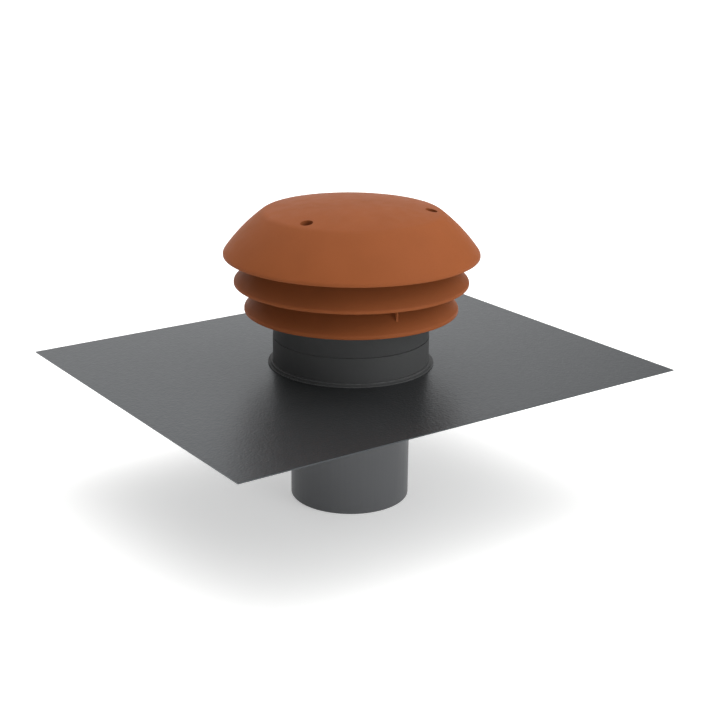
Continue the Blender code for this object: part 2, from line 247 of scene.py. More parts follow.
def inset(outline, distance, rounding_change=0.0):
    """The outline moved by a wall's thickness to the left of its own way, with mitred corners."""
    points = [Vector((r, z)) for r, z, _ in outline]
    ways = [(after - before).normalized() for before, after in zip(points, points[1:])]
    result = []
    for index, (point, (_, _, rounding)) in enumerate(zip(points, outline)):
        way_in = ways[max(index - 1, 0)]
        way_out = ways[min(index, len(ways) - 1)]
        side_in = Vector((-way_in.y, way_in.x))
        side_out = Vector((-way_out.y, way_out.x))
        mitre = side_in + side_out
        mitre *= distance * 2 / mitre.length_squared
        radius = 0.0 if point.x == 0.0 else point.x + mitre.x
        kept = max(rounding + rounding_change, 0.0) if rounding else 0.0
        result.append(corner(radius, point.y + mitre.y, kept))
    return result


def height_at(outline, radius):
    """Height of an outline over one radius."""
    for (r0, z0, _), (r1, z1, _) in zip(outline, outline[1:]):
        if r0 != r1 and min(r0, r1) <= radius <= max(r0, r1):
            return z0 + (z1 - z0) * (radius - r0) / (r1 - r0)
    raise ValueError(f"the outline has no point over radius {radius}")


SKIRT_STEPS = 18
CROWN_STEPS = 26
CREASE_STEPS = 8


def skirt_points(start, end, bulge):
    """The cap's skirt, an arc that stands out from the straight line by its bulge."""
    start, end = Vector(start), Vector(end)
    way = end - start
    side = Vector((way.y, -way.x)).normalized()
    shares = [step / SKIRT_STEPS for step in range(SKIRT_STEPS + 1)]
    return [start + way * t + side * (4 * bulge * t * (1 - t)) for t in shares]


def crown_points(edge_radius, edge_height, rise):
    """The shallow crown, an arc from the crease to the axis."""
    sphere = (edge_radius**2 + rise**2) / (2 * rise)
    points = []
    for step in range(CROWN_STEPS + 1):
        radius = edge_radius * (1 - step / CROWN_STEPS)
        points.append(Vector((radius, edge_height + rise - sphere + math.sqrt(sphere**2 - radius**2))))
    return points


def creased(skirt, crown, reach):
    """The skirt and the crown joined by a soft curve in place of their common corner."""
    crease = skirt[-1]
    before = [point for point in skirt if (point - crease).length > reach]
    after = [point for point in crown if (point - crease).length > reach]
    start = crease + (before[-1] - crease).normalized() * reach
    end = crease + (after[0] - crease).normalized() * reach
    curve = []
    for step in range(CREASE_STEPS + 1):
        t = step / CREASE_STEPS
        curve.append(start * (1 - t) ** 2 + crease * 2 * t * (1 - t) + end * t**2)
    return before + curve + after


def cap_outline(sizes):
    """Outside of the cap from its rim to the apex."""
    rim_radius, rim_height = CAP_HIGH.x, CAP_LOW.z
    crease_height = CAP_HIGH.z - sizes.crown_rise
    lip_top = (rim_radius, rim_height + sizes.lip_height)
    skirt = skirt_points(lip_top, (sizes.crease_radius, crease_height), sizes.skirt_bulge)
    crown = crown_points(sizes.crease_radius, crease_height, sizes.crown_rise)
    surface = creased(skirt, crown, sizes.crease_rounding)
    rim = [corner(rim_radius, rim_height, sizes.rim_rounding), corner(*lip_top, sizes.lip_rounding)]
    return rim + [corner(point.x, point.y) for point in surface[1:]]


def ring_outline(sizes, rim_radius, rim_height, lip_extra=0.0):
    """Top of a louvre ring, from its rim to the bore of its shelf."""
    shelf_rise = sizes.lip_height + (rim_radius - sizes.shoulder_radius) * math.tan(sizes.ring_slope)
    outline = [
        corner(rim_radius, -lip_extra, sizes.rim_rounding),
        corner(rim_radius, sizes.lip_height, sizes.lip_rounding),
        corner(sizes.shoulder_radius, shelf_rise, sizes.shoulder_rounding),
        corner(sizes.shelf_bore, shelf_rise, sizes.rim_rounding),
    ]
    return moved(outline, rim_height + lip_extra)


# Bodies


TURN_SEGMENTS = 240
PIN_SEGMENTS = 48
ROUND_SEGMENTS = 4

# How far a cutting body stands out of the body that it cuts
OVERRUN = 5.0 * MM

# Points of a joined body that are closer than this are made one
JOIN_TOLERANCE = 0.03 * MM


def turned(outline, closed, segments=TURN_SEGMENTS):
    """A body turned round the Z axis, whose outline is closed in itself or ends on the axis."""
    body = bmesh.new()
    corners = [body.verts.new((radius, 0.0, height)) for radius, height, _ in outline]
    for pair in zip(corners, corners[1:]):
        body.edges.new(pair)
    if closed:
        body.edges.new((corners[-1], corners[0]))
    for point, (_, _, rounding) in zip(corners, outline):
        if rounding:
            bmesh.ops.bevel(
                body,
                geom=[point],
                offset=rounding,
                offset_type="OFFSET",
                segments=ROUND_SEGMENTS,
                profile=0.5,
                affect="VERTICES",
                clamp_overlap=True,
                material=-1,
            )
    bmesh.ops.spin(
        body,
        geom=body.verts[:] + body.edges[:],
        cent=(0.0, 0.0, 0.0),
        axis=(0.0, 0.0, 1.0),
        angle=math.tau,
        steps=segments,
        use_merge=True,
    )
    bmesh.ops.remove_doubles(body, verts=body.verts, dist=TINY)
    bmesh.ops.recalc_face_normals(body, faces=body.faces)
    return body


def pin_outline(low, high, radius):
    """Outline of a plain round pin between two heights."""
    return [corner(0.0, low), corner(radius, low), corner(radius, high), corner(0.0, high)]


def append_body(body, other):
    """Add a second body to the first one and free it."""
    carrier = bpy.data.meshes.new("carrier")
    other.to_mesh(carrier)
    other.free()
    body.from_mesh(carrier)
    bpy.data.meshes.remove(carrier)


def round_the_holes(outline, fastening, slope=0.0, upright_below=0.0):
    """The same small turned body at each screw hole, its upper part sheared to the crown's slope."""
    group = bmesh.new()
    lean = Matrix.Identity(4)
    lean[2][0] = -slope
    for index in range(fastening.count):
        pin = turned(outline, False, PIN_SEGMENTS)
        if slope:
            raised = [vert for vert in pin.verts if vert.co.z > upright_below + TINY]
            bmesh.ops.transform(pin, matrix=lean, verts=raised)
        turn = Matrix.Rotation(fastening.first_angle + math.tau * index / fastening.count, 4, "Z")
        place = turn @ Matrix.Translation((fastening.hole_circle, 0.0, 0.0))
        bmesh.ops.transform(pin, matrix=place, verts=pin.verts)
        append_body(group, pin)
    return group


def helper_object(body, name):
    """A body as an object that only a Boolean needs."""
    mesh = bpy.data.meshes.new(name)
    body.to_mesh(mesh)
    body.free()
    helper = bpy.data.objects.new(name, mesh)
    bpy.context.collection.objects.link(helper)
    return helper


def combined(body, joined=(), cut=()):
    """The body with some bodies joined to it and others cut from it, as one closed body."""
    host = helper_object(body, "host")
    helpers = [host]
    for operation, others in (("UNION", joined), ("DIFFERENCE", cut)):
        for other in others:
            tool = helper_object(other, "tool")
            modifier = host.modifiers.new("combine", "BOOLEAN")
            modifier.operation = operation
            modifier.solver = "EXACT"
            modifier.object = tool
            helpers.append(tool)
    result = bmesh.new()
    result.from_object(host, bpy.context.evaluated_depsgraph_get())
    for helper in helpers:
        mesh = helper.data
        bpy.data.objects.remove(helper)
        bpy.data.meshes.remove(mesh)
    bmesh.ops.remove_doubles(result, verts=result.verts, dist=JOIN_TOLERANCE)
    bmesh.ops.dissolve_degenerate(result, edges=result.edges, dist=JOIN_TOLERANCE)
    return result


# Name of the value that paints convex edges paler: partly wear, partly a painted highlight along rounded
# edges
WORN_AND_HIGHLIT = "worn_and_highlit"

# A rounding's faces are narrower than this, and a bend this sharp gets the paler edge colour in full: wear
# and a painted highlight together
WORN_AND_HIGHLIT_WIDTH = 1.2 * MM
WORN_AND_HIGHLIT_ANGLE = math.radians(28)


def mark_worn_and_highlit_edges(body):
    """A value at the corners of narrow faces that says how sharply the surface bends outwards there; the
    finishes paint these edges paler, as wear and as a painted highlight.
    """
    layer = body.loops.layers.float.new(WORN_AND_HIGHLIT)
    for face in body.faces:
        longest = max(edge.calc_length() for edge in face.edges)
        if face.calc_area() > WORN_AND_HIGHLIT_WIDTH * longest:
            continue
        for loop in face.loops:
            sharpest = max(edge.calc_face_angle_signed(0.0) for edge in loop.vert.link_edges)
            loop[layer] = min(max(sharpest / WORN_AND_HIGHLIT_ANGLE, 0.0), 1.0)


# A bend sharper than this is an edge, and the others are shaded smooth
SHARP_ANGLE = math.radians(32)


def finish_piece(name, body, material, node):
    """The body as a finished piece that rides on the frame and stands for a node of the solids."""
    mark_worn_and_highlit_edges(body)
    mesh = bpy.data.meshes.new(name)
    body.to_mesh(mesh)
    body.free()
    mesh.shade_smooth()
    mesh.set_sharp_from_angle(angle=SHARP_ANGLE)
    mesh.materials.append(material)
    piece = bpy.data.objects.new(name, mesh)
    bpy.context.collection.objects.link(piece)
    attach(piece, BODY)
    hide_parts(node)


# Finishes


# The middle range of a noise, which is spread out to make mottling
NOISE_LOW = 0.3
NOISE_HIGH = 0.7

PEBBLE_SMOOTHNESS = 0.6


class Wiring:
    """A node tree while it is wired."""

    def __init__(self, tree):
        self.tree = tree

    def feed(self, node, values):
        """Give a node's inputs their values, or link them where the value is another node's output."""
        for key, value in values.items():
            if isinstance(value, bpy.types.NodeSocket):
                self.tree.links.new(value, node.inputs[key])
            else:
                node.inputs[key].default_value = value

    def maths(self, operation, first, second):
        """Two values put together."""
        node = self.tree.nodes.new("ShaderNodeMath")
        node.operation = operation
        self.feed(node, {0: first, 1: second})
        return node.outputs["Value"]


class Surface(Wiring):
    """A material while it is wired: short ways to add the nodes that the finishes share."""

    def __init__(self, name, shine):
        self.material = bpy.data.materials.new(name)
        self.material.use_nodes = True
        super().__init__(self.material.node_tree)
        self.shader = self.tree.nodes["Principled BSDF"]
        self.shader.inputs["Specular IOR Level"].default_value = shine
        self.place = self.tree.nodes.new("ShaderNodeTexCoord").outputs["Object"]

    def stretched(self, factors):
        """The piece's own coordinates, scaled along each axis."""
        node = self.tree.nodes.new("ShaderNodeMapping")
        self.feed(node, {"Vector": self.place, "Scale": factors})
        return node.outputs["Vector"]

    def speckle(self, width, detail=2.0, place=None):
        """Soft random noise with features about one width across."""
        node = self.tree.nodes.new("ShaderNodeTexNoise")
        self.feed(node, {"Vector": place or self.place, "Scale": 1.0 / width, "Detail": detail})
        return node.outputs["Fac"]

    def pebbles(self, width):
        """Rounded cells about one width across."""
        node = self.tree.nodes.new("ShaderNodeTexVoronoi")
        node.feature = "SMOOTH_F1"
        self.feed(node, {"Vector": self.place, "Scale": 1.0 / width, "Smoothness": PEBBLE_SMOOTHNESS})
        return node.outputs["Distance"]

    def attribute(self, name):
        """A value stored on the mesh."""
        node = self.tree.nodes.new("ShaderNodeAttribute")
        node.attribute_name = name
        return node.outputs["Fac"]

    def spread(self, value, low=NOISE_LOW, high=NOISE_HIGH, to_low=0.0, to_high=1.0):
        """The value from low to high, spread over another range and held at its ends."""
        node = self.tree.nodes.new("ShaderNodeMapRange")
        ranges = {"From Min": low, "From Max": high, "To Min": to_low, "To Max": to_high}
        self.feed(node, {"Value": value, **ranges})
        return node.outputs["Result"]

    def blend(self, share_of_second, first, second):
        """Two colours mixed by a share."""
        node = self.tree.nodes.new("ShaderNodeMix")
        node.data_type = "RGBA"
        node.clamp_factor = True
        colours = [socket for socket in node.inputs if socket.type == "RGBA"]
        self.tree.links.new(share_of_second, node.inputs["Factor"])
        for socket, value in zip(colours, (first, second)):
            if isinstance(value, bpy.types.NodeSocket):
                self.tree.links.new(value, socket)
            else:
                socket.default_value = (*value, 1.0)
        return next(socket for socket in node.outputs if socket.type == "RGBA")

    def grain(self, height, depth, under=None):
        """A relief of one depth from a height between 0 and 1, on top of another relief."""
        node = self.tree.nodes.new("ShaderNodeBump")
        self.feed(node, {"Strength": 1.0, "Distance": depth, "Height": height})
        if under is not None:
            self.tree.links.new(under, node.inputs["Normal"])
        return node.outputs["Normal"]

    def finished(self, base, roughness, normal):
        """Wire the results to the shader and hand the material over."""
        self.tree.links.new(base, self.shader.inputs["Base Color"])
        self.tree.links.new(roughness, self.shader.inputs["Roughness"])
        self.tree.links.new(normal, self.shader.inputs["Normal"])
        return self.material


def tinted(base, factor):
    """A colour made lighter or darker."""
    return tuple(min(channel * factor, 1.0) for channel in base)


# How much a moulding's colour varies either way
TERRACOTTA_MOTTLING = 0.05
COLLAR_MOTTLING = 0.015

# The fine darker specks: how dark they are and how much of that shows
SPECK_SHADE = 0.86
SPECK_SHARE = 0.25

# How much of the paler colour shows on a convex edge, where it is partly wear and partly a painted
# highlight
WORN_AND_HIGHLIT_SHARE = 0.55

# Depths of a moulding's slow waves and of its fine grain
WAVE_DEPTH = 0.06 * MM
MOULD_GRAIN_DEPTH = 0.035 * MM


def moulded_plastic(name, base, pale, roughness, shine, mottling):
    """Spark-textured moulded plastic: soft mottling, a fine grain, and paler convex edges that are slight
    wear and a painted highlight.
    """
    surface = Surface(name, shine)
    broad = surface.spread(surface.speckle(width=45 * MM, detail=3.0))
    fine = surface.spread(surface.speckle(width=0.9 * MM))
    body = surface.blend(broad, tinted(base, 1.0 - mottling), tinted(base, 1.0 + mottling))
    specks = surface.maths("MULTIPLY", fine, SPECK_SHARE)
    body = surface.blend(specks, body, tinted(base, SPECK_SHADE))
    # Painted highlight and wear: convex edges made paler in patches
    patches = surface.spread(surface.speckle(width=7 * MM, detail=4.0), low=0.42, high=0.66)
    worn_and_highlit = surface.maths("MULTIPLY", surface.attribute(WORN_AND_HIGHLIT), patches)
    body = surface.blend(surface.maths("MULTIPLY", worn_and_highlit, WORN_AND_HIGHLIT_SHARE), body, pale)
    gloss = surface.spread(
        surface.speckle(width=12 * MM, detail=4.0),
        low=0.25,
        high=0.75,
        to_low=roughness - 0.05,
        to_high=roughness + 0.06,
    )
    relief = surface.grain(surface.speckle(width=28 * MM, detail=1.0), WAVE_DEPTH)
    relief = surface.grain(surface.speckle(width=0.55 * MM), MOULD_GRAIN_DEPTH, relief)
    return surface.finished(body, gloss, relief)


def terracotta_plastic(name, colours):
    """The terracotta finish, with a name for each moulding."""
    return moulded_plastic(
        name,
        colours.terracotta,
        colours.terracotta_pale,
        colours.terracotta_roughness,
        colours.terracotta_shine,
        TERRACOTTA_MOTTLING,
    )


def collar_plastic(name, colours):
    """The dark grey finish, with a name for each part of the collar."""
    return moulded_plastic(
        name,
        colours.collar,
        colours.collar_pale,
        colours.collar_roughness,
        colours.collar_shine,
        COLLAR_MOTTLING,
    )


COATING_DEPTH = 0.02 * MM


def coated_sheet(name, colours, sizes):
    """A thin sheet with a satin coating over a fine embossed grain."""
    surface = Surface(name, colours.sheet_shine)
    surface.feed(surface.shader, {"Specular Tint": (*colours.sheet_tint, 1.0)})
    broad = surface.spread(surface.speckle(width=70 * MM, detail=3.0))
    body = surface.blend(broad, tinted(colours.sheet, 0.95), tinted(colours.sheet, 1.06))
    low = colours.sheet_roughness - 0.01
    gloss = surface.spread(surface.speckle(width=5 * MM, detail=4.0), to_low=low, to_high=low + 0.04)
    relief = surface.grain(surface.pebbles(sizes.grain_width), sizes.grain_depth)
    relief = surface.grain(surface.speckle(width=0.8 * MM), COATING_DEPTH, relief)
    return surface.finished(body, gloss, relief)


# The pipe's streaks: how they are drawn out along it, how dark they are and how deep
STREAK_STRETCH = (1.0, 1.0, 0.015)
STREAK_SHADE = 0.88
STREAK_DEPTH = 0.01 * MM
PIPE_GRAIN_DEPTH = 0.012 * MM


def drawn_pipe(name, colours):
    """Extruded pipe: faint drawn streaks along its length and a paler rim, partly wear and partly a painted
    highlight.
    """
    surface = Surface(name, colours.pipe_shine)
    streaks = surface.speckle(width=2.5 * MM, detail=3.0, place=surface.stretched(STREAK_STRETCH))
    broad = surface.spread(surface.speckle(width=50 * MM))
    body = surface.blend(broad, tinted(colours.pipe, 0.99), tinted(colours.pipe, 1.02))
    lines = surface.spread(streaks, low=0.35, high=0.65, to_high=0.18)
    body = surface.blend(lines, body, tinted(colours.pipe, STREAK_SHADE))
    # Painted highlight and wear: the rim's convex edges made paler in patches
    patches = surface.spread(surface.speckle(width=6 * MM, detail=3.0), low=0.4, high=0.65, to_high=0.6)
    worn_and_highlit = surface.maths("MULTIPLY", surface.attribute(WORN_AND_HIGHLIT), patches)
    body = surface.blend(worn_and_highlit, body, colours.pipe_pale)
    low = colours.pipe_roughness - 0.03
    gloss = surface.spread(streaks, to_low=low, to_high=low + 0.06)
    relief = surface.grain(streaks, STREAK_DEPTH)
    relief = surface.grain(surface.speckle(width=0.7 * MM), PIPE_GRAIN_DEPTH, relief)
    return surface.finished(body, gloss, relief)


FLOOR_SHINE = 0.2
FLOOR_GRAIN_DEPTH = 0.02 * MM


def pale_floor(name, colours, glow):
    """The plain pale floor, lit a little from below, with the faintest mottling."""
    surface = Surface(name, FLOOR_SHINE)
    broad = surface.spread(surface.speckle(width=500 * MM))
    body = surface.blend(broad, tinted(colours.floor, 0.995), colours.floor)
    gloss = surface.spread(broad, low=0.0, high=1.0, to_low=0.85, to_high=0.95)
    relief = surface.grain(surface.speckle(width=4 * MM), FLOOR_GRAIN_DEPTH)
    surface.feed(surface.shader, {"Emission Color": (1.0, 1.0, 1.0, 1.0), "Emission Strength": glow})
    return surface.finished(body, gloss, relief)


# Pieces


FIN_ROUNDING = 0.35 * MM
FIN_ROUND_SEGMENTS = 2


def fins(top, ceiling, fastening):
    """The short spacer fins, rooted in a ring's skirt, that reach up to the piece above."""
    radii = (fastening.fin_inner, fastening.fin_outer)
    feet = [(r, height_at(top, r) - fastening.fin_root) for r in radii]
    heads = [(r, height_at(ceiling, r) - fastening.fin_headroom) for r in radii]
    group = bmesh.new()
    for index in range(fastening.count):
        fin = bmesh.new()
        half = fastening.fin_thickness / 2
        side = fin.faces.new([fin.verts.new((r, -half, z)) for r, z in feet + heads[::-1]])
        grown = bmesh.ops.extrude_face_region(fin, geom=[side])
        far_side = [item for item in grown["geom"] if isinstance(item, bmesh.types.BMVert)]
        bmesh.ops.translate(fin, vec=(0.0, 2 * half, 0.0), verts=far_side)
        bmesh.ops.recalc_face_normals(fin, faces=fin.faces)
        upright = [e for e in fin.edges if abs(e.verts[0].co.y - e.verts[1].co.y) < TINY]
        bmesh.ops.bevel(
            fin,
            geom=upright,
            offset=FIN_ROUNDING,
            offset_type="OFFSET",
            segments=FIN_ROUND_SEGMENTS,
            profile=0.5,
            affect="EDGES",
            clamp_overlap=True,
            material=-1,
        )
        turn = fastening.first_angle + math.tau * (index + 0.5) / fastening.count
        bmesh.ops.transform(fin, matrix=Matrix.Rotation(turn, 4, "Z"), verts=fin.verts)
        append_body(group, fin)
    return group


# How much smaller the roundings inside a moulding are than those outside
CAP_INSIDE_SHARPER = 0.3 * MM
RING_INSIDE_SHARPER = 0.2 * MM

# How far the rounding of a screw hole's mouth turns before it meets the crown
MOUTH_TURN = math.radians(75)


def cap_body(moulding, fastening):
    """The hollow cap with a boss round each screw hole."""
    outside = cap_outline(moulding)
    inside = inset(outside, moulding.wall, -CAP_INSIDE_SHARPER)
    shell = turned(inside[::-1] + outside, False)
    boss_foot = ring_outline(moulding, UPPER_HIGH.x, UPPER_LOW.z)[-1][1] + CLEARANCE
    crown = height_at(outside, fastening.hole_circle)
    inner_edge = fastening.hole_circle - fastening.hole_radius
    outer_edge = fastening.hole_circle + fastening.hole_radius
    slope = (height_at(outside, inner_edge) - height_at(outside, outer_edge)) / (outer_edge - inner_edge)
    boss = pin_outline(boss_foot, crown - moulding.wall / 2, fastening.boss_radius)
    seat = boss_foot + fastening.seat_height
    flare = fastening.hole_rounding
    mouth = []
    for step in range(ROUND_SEGMENTS + 1):
        turn = MOUTH_TURN * step / ROUND_SEGMENTS
        radius = fastening.hole_radius + flare * (1 - math.cos(turn))
        mouth.append(corner(radius, crown - flare + flare * math.sin(turn)))
    last_radius = mouth[-1][0]
    bore = [
        corner(0.0, boss_foot - OVERRUN),
        corner(fastening.screw_radius, boss_foot - OVERRUN),
        corner(fastening.screw_radius, seat),
        corner(fastening.hole_radius, seat),
        *mouth,
        corner(last_radius + 2 * flare, crown + flare),
        corner(0.0, crown + flare),
    ]
    return combined(
        shell,
        joined=[round_the_holes(boss, fastening, slope, seat)],
        cut=[round_the_holes(bore, fastening, slope, seat)],
    )


# Roundings of the rim that centres a ring: foot inside, foot outside and root outside
LOCATING_ROUNDINGS = (0.4 * MM, 0.6 * MM, 0.8 * MM)


def ring_body(outline, moulding, locating):
    """A louvre ring of even thickness, with or without the rim that centres it below."""
    underside = inset(outline, moulding.wall, -RING_INSIDE_SHARPER)
    low = underside[-1][1]
    rim = []
    if locating:
        outer = moulding.locating_radius
        inner = outer - moulding.locating_wall
        foot = low - moulding.locating_depth
        inner_foot, outer_foot, outer_root = LOCATING_ROUNDINGS
        rim = [
            corner(inner, low),
            corner(inner, foot, inner_foot),
            corner(outer, foot, outer_foot),
            corner(outer, low, outer_root),
        ]
    return turned(outline + [underside[-1]] + rim + underside[-2::-1], True)


class VENT_OT_cap(Operator):
    """Make the terracotta cap with its three screw holes"""

    bl_idname = "vent.cap"
    bl_label = "Cap"

    def execute(self, context):
        """Model the cap and put it on the frame."""
        scene = context.scene
        body = cap_body(scene.vent_moulding, scene.vent_fastening)
        material = terracotta_plastic("cap_plastic", scene.vent_colours)
        finish_piece("cap", body, material, "cap_dome")
        return {"FINISHED"}


class VENT_OT_louvre_rings(Operator):
    """Make the two terracotta louvre rings with their fins and posts"""

    bl_idname = "vent.louvre_rings"
    bl_label = "Louvre rings"

    def execute(self, context):
        """Model both rings and put them on the frame."""
        scene = context.scene
        moulding, fastening = scene.vent_moulding, scene.vent_fastening
        lower = ring_outline(moulding, LOWER_HIGH.x, LOWER_LOW.z, moulding.lower_lip_extra)
        upper = ring_outline(moulding, UPPER_HIGH.x, UPPER_LOW.z)
        below_upper = inset(upper, moulding.wall)
        below_cap = inset(cap_outline(moulding), moulding.wall)
        post_top = below_upper[-1][1] - CLEARANCE
        post_foot = lower[-1][1] - fastening.fin_root
        post = pin_outline(post_foot, post_top, fastening.post_radius)
        pilot_foot = post_top - fastening.pilot_depth
        pilot = pin_outline(pilot_foot, post_top + OVERRUN, fastening.pilot_radius)
        lower_body = combined(
            ring_body(lower, moulding, True),
            joined=[round_the_holes(post, fastening), fins(lower, below_upper, fastening)],
            cut=[round_the_holes(pilot, fastening)],
        )
        hole_foot = below_upper[-1][1] - OVERRUN
        hole = pin_outline(hole_foot, upper[-1][1] + OVERRUN, fastening.screw_radius)
        upper_body = combined(
            ring_body(upper, moulding, False),
            joined=[fins(upper, below_cap, fastening)],
            cut=[round_the_holes(hole, fastening)],
        )
        lower_plastic = terracotta_plastic("lower_ring_plastic", scene.vent_colours)
        finish_piece("lower_ring", lower_body, lower_plastic, "lower_louvre_ring")
        upper_plastic = terracotta_plastic("upper_ring_plastic", scene.vent_colours)
        finish_piece("upper_ring", upper_body, upper_plastic, "upper_louvre_ring")
        return {"FINISHED"}


def open_seam(sleeve, seam, plug_radius, sizes):
    """Raise the lower edge of the sleeve's wall towards one side, because it sits a little crooked."""
    side = Vector((math.cos(sizes.seam_side), math.sin(sizes.seam_side)))
    for vert in sleeve.verts:
        spot = vert.co.xy
        if spot.length > plug_radius - TINY and seam - TINY < vert.co.z < seam + sizes.swage / 2:
            vert.co.z += sizes.seam_opening * ((1 + spot.normalized().dot(side)) / 2) ** 2


class VENT_OT_collar(Operator):
    """Make the dark collar: the beaded lower part and the sleeve above the seam"""

    bl_idname = "vent.collar"
    bl_label = "Collar"

    def execute(self, context):
        """Turn both parts of the collar and put them on the frame."""
        scene = context.scene
        sizes = scene.vent_collar
        low, high = SHEET_HIGH.z + sizes.sheet_gap, COLLAR_HIGH.z
        bead_top, foot_top = COLLAR_LOW.z + sizes.bead_height, COLLAR_LOW.z + sizes.foot_height
        inner = sizes.radius - sizes.wall
        edge = sizes.edge_rounding
        collar = [
            corner(sizes.bore, low),
            corner(COLLAR_HIGH.x, low, edge),
            corner(COLLAR_HIGH.x, bead_top, sizes.bead_rounding),
            corner(sizes.foot_radius, bead_top),
            corner(sizes.foot_radius, foot_top, sizes.foot_rounding),
            corner(sizes.radius, foot_top),
            corner(sizes.radius, high, edge),
            corner(inner, high, edge),
            corner(inner, low + sizes.web),
            corner(sizes.bore, low + sizes.web),
        ]
        plug = inner - CLEARANCE
        seam = high + sizes.seam_gap
        sleeve_inner = SLEEVE_HIGH.x - sizes.wall
        sleeve = [
            corner(plug - sizes.plug_wall, SLEEVE_LOW.z, edge),
            corner(plug, SLEEVE_LOW.z, edge),
            corner(plug, seam),
            corner(SLEEVE_HIGH.x, seam, edge),
            corner(SLEEVE_HIGH.x, SLEEVE_HIGH.z, edge),
            corner(sleeve_inner, SLEEVE_HIGH.z, edge),
            corner(sleeve_inner, seam + sizes.swage),
            corner(plug - sizes.plug_wall, seam),
        ]
        upper_body = turned(sleeve, True)
        open_seam(upper_body, seam, plug, sizes)
        lower_plastic = collar_plastic("lower_collar_plastic", scene.vent_colours)
        finish_piece("lower_collar", turned(collar, True), lower_plastic, "base_collar")
        upper_plastic = collar_plastic("sleeve_plastic", scene.vent_colours)
        finish_piece("sleeve", upper_body, upper_plastic, "collar_sleeve")
        return {"FINISHED"}


# The embossed relief begins over this width outside the part that the collar hides
RELIEF_FADE = 5.0 * MM


def sheet_body(sizes):
    """The thin sheet: a fine grid for the embossed upper face, a round hole and a plain underside."""
    span = SHEET_HIGH - SHEET_LOW
    body = bmesh.new()
    bmesh.ops.create_grid(
        body,
        x_segments=round(span.x / sizes.grid_step),
        y_segments=round(span.y / sizes.grid_step),
        size=0.5,
    )
    bmesh.ops.scale(body, vec=(span.x, span.y, 1.0), verts=body.verts)
    hidden = [face for face in body.faces if face.calc_center_median().length < sizes.covered_radius]
    bmesh.ops.delete(body, geom=hidden, context="FACES")
    near = 2 * sizes.covered_radius
    stairs = [edge for edge in body.edges if edge.is_boundary and edge.verts[0].co.length < near]
    hole = bmesh.ops.create_circle(body, segments=TURN_SEGMENTS, radius=sizes.hole_radius, cap_ends=False)
    rim = {edge for vert in hole["verts"] for edge in vert.link_edges}
    bmesh.ops.triangle_fill(body, use_beauty=True, use_dissolve=False, edges=stairs + list(rim))
    top = body.verts[:]
    open_edges = [edge for edge in body.edges if edge.is_boundary]
    grown = bmesh.ops.extrude_edge_only(body, edges=open_edges)
    lowered = [item for item in grown["geom"] if isinstance(item, bmesh.types.BMVert)]
    bmesh.ops.translate(body, vec=(0.0, 0.0, -span.z), verts=lowered)
    bmesh.ops.triangle_fill(
        body,
        use_beauty=True,
        use_dissolve=False,
        edges=[edge for edge in body.edges if edge.is_boundary],
    )
    bmesh.ops.recalc_face_normals(body, faces=body.faces)
    for vert in top:
        away = min(1.0, max(0.0, (vert.co.xy.length - sizes.covered_radius) / RELIEF_FADE))
        spot = Vector((vert.co.x, vert.co.y, 0.0)) / sizes.pebble
        vert.co.z += sizes.pebble_depth * away * (noise.noise(spot) - 0.5)
    bmesh.ops.translate(body, vec=(0.0, 0.0, SHEET_HIGH.z), verts=body.verts)
    return body


class VENT_OT_flashing_sheet(Operator):
    """Make the thin flashing sheet with its embossed upper face"""

    bl_idname = "vent.flashing_sheet"
    bl_label = "Flashing sheet"

    def execute(self, context):
        """Model the sheet and put it on the frame."""
        scene = context.scene
        material = coated_sheet("coated_sheet_metal", scene.vent_colours, scene.vent_sheet)
        finish_piece("sheet", sheet_body(scene.vent_sheet), material, "flashing_sheet")
        return {"FINISHED"}


# Roundings of the pipe's ends and of its chamfer's two edges
PIPE_EDGE_ROUNDING = 0.3 * MM
CHAMFER_ROUNDING = 0.25 * MM


class VENT_OT_spigot(Operator):
    """Make the grey spigot pipe"""

    bl_idname = "vent.spigot"
    bl_label = "Spigot"

    def execute(self, context):
        """Turn the pipe and put it on the frame."""
        scene = context.scene
        sizes = scene.vent_collar
        inner = PIPE_HIGH.x - sizes.pipe_wall
        chamfer = sizes.pipe_chamfer
        outline = [
            corner(inner, PIPE_LOW.z, PIPE_EDGE_ROUNDING),
            corner(PIPE_HIGH.x - chamfer, PIPE_LOW.z, CHAMFER_ROUNDING),
            corner(PIPE_HIGH.x, PIPE_LOW.z + chamfer, CHAMFER_ROUNDING),
            corner(PIPE_HIGH.x, PIPE_HIGH.z, PIPE_EDGE_ROUNDING),
            corner(inner, PIPE_HIGH.z, PIPE_EDGE_ROUNDING),
        ]
        material = drawn_pipe("pipe_plastic", scene.vent_colours)
        finish_piece("spigot", turned(outline, True), material, "spigot_pipe")
        return {"FINISHED"}


# Stage


# The floor's width in metres, which keeps its edge out of sight from behind too
FLOOR_SIZE = 120.0

# The camera's sensor in millimetres, which the focal length goes with
SENSOR_WIDTH = 36.0

# Soft lights: bearing in degrees clockwise from straight behind the part, as the camera sees it,
# elevation in degrees, tightness and strength
SOFT_LIGHTS = (
    (-30, 12, 24, 0.83),
    (0, 12, 24, 1.33),
    (-35, 35, 16, 0.82),
    (0, 90, 6, 2.00),
    (60, 55, 8, 1.90),
    (300, 55, 8, 1.05),
    (130, 10, 20, 3.05),
    (190, 10, 20, 0.75),
    (110, 35, 20, 3.65),
)


def add_floor(colours, glow):
    """A plain pale floor under the part."""
    body = bmesh.new()
    bmesh.ops.create_grid(body, x_segments=4, y_segments=4, size=FLOOR_SIZE / 2)
    mesh = bpy.data.meshes.new("floor")
    body.to_mesh(mesh)
    body.free()
    mesh.materials.append(pale_floor("floor_finish", colours, glow))
    floor = bpy.data.objects.new("floor", mesh)
    bpy.context.collection.objects.link(floor)


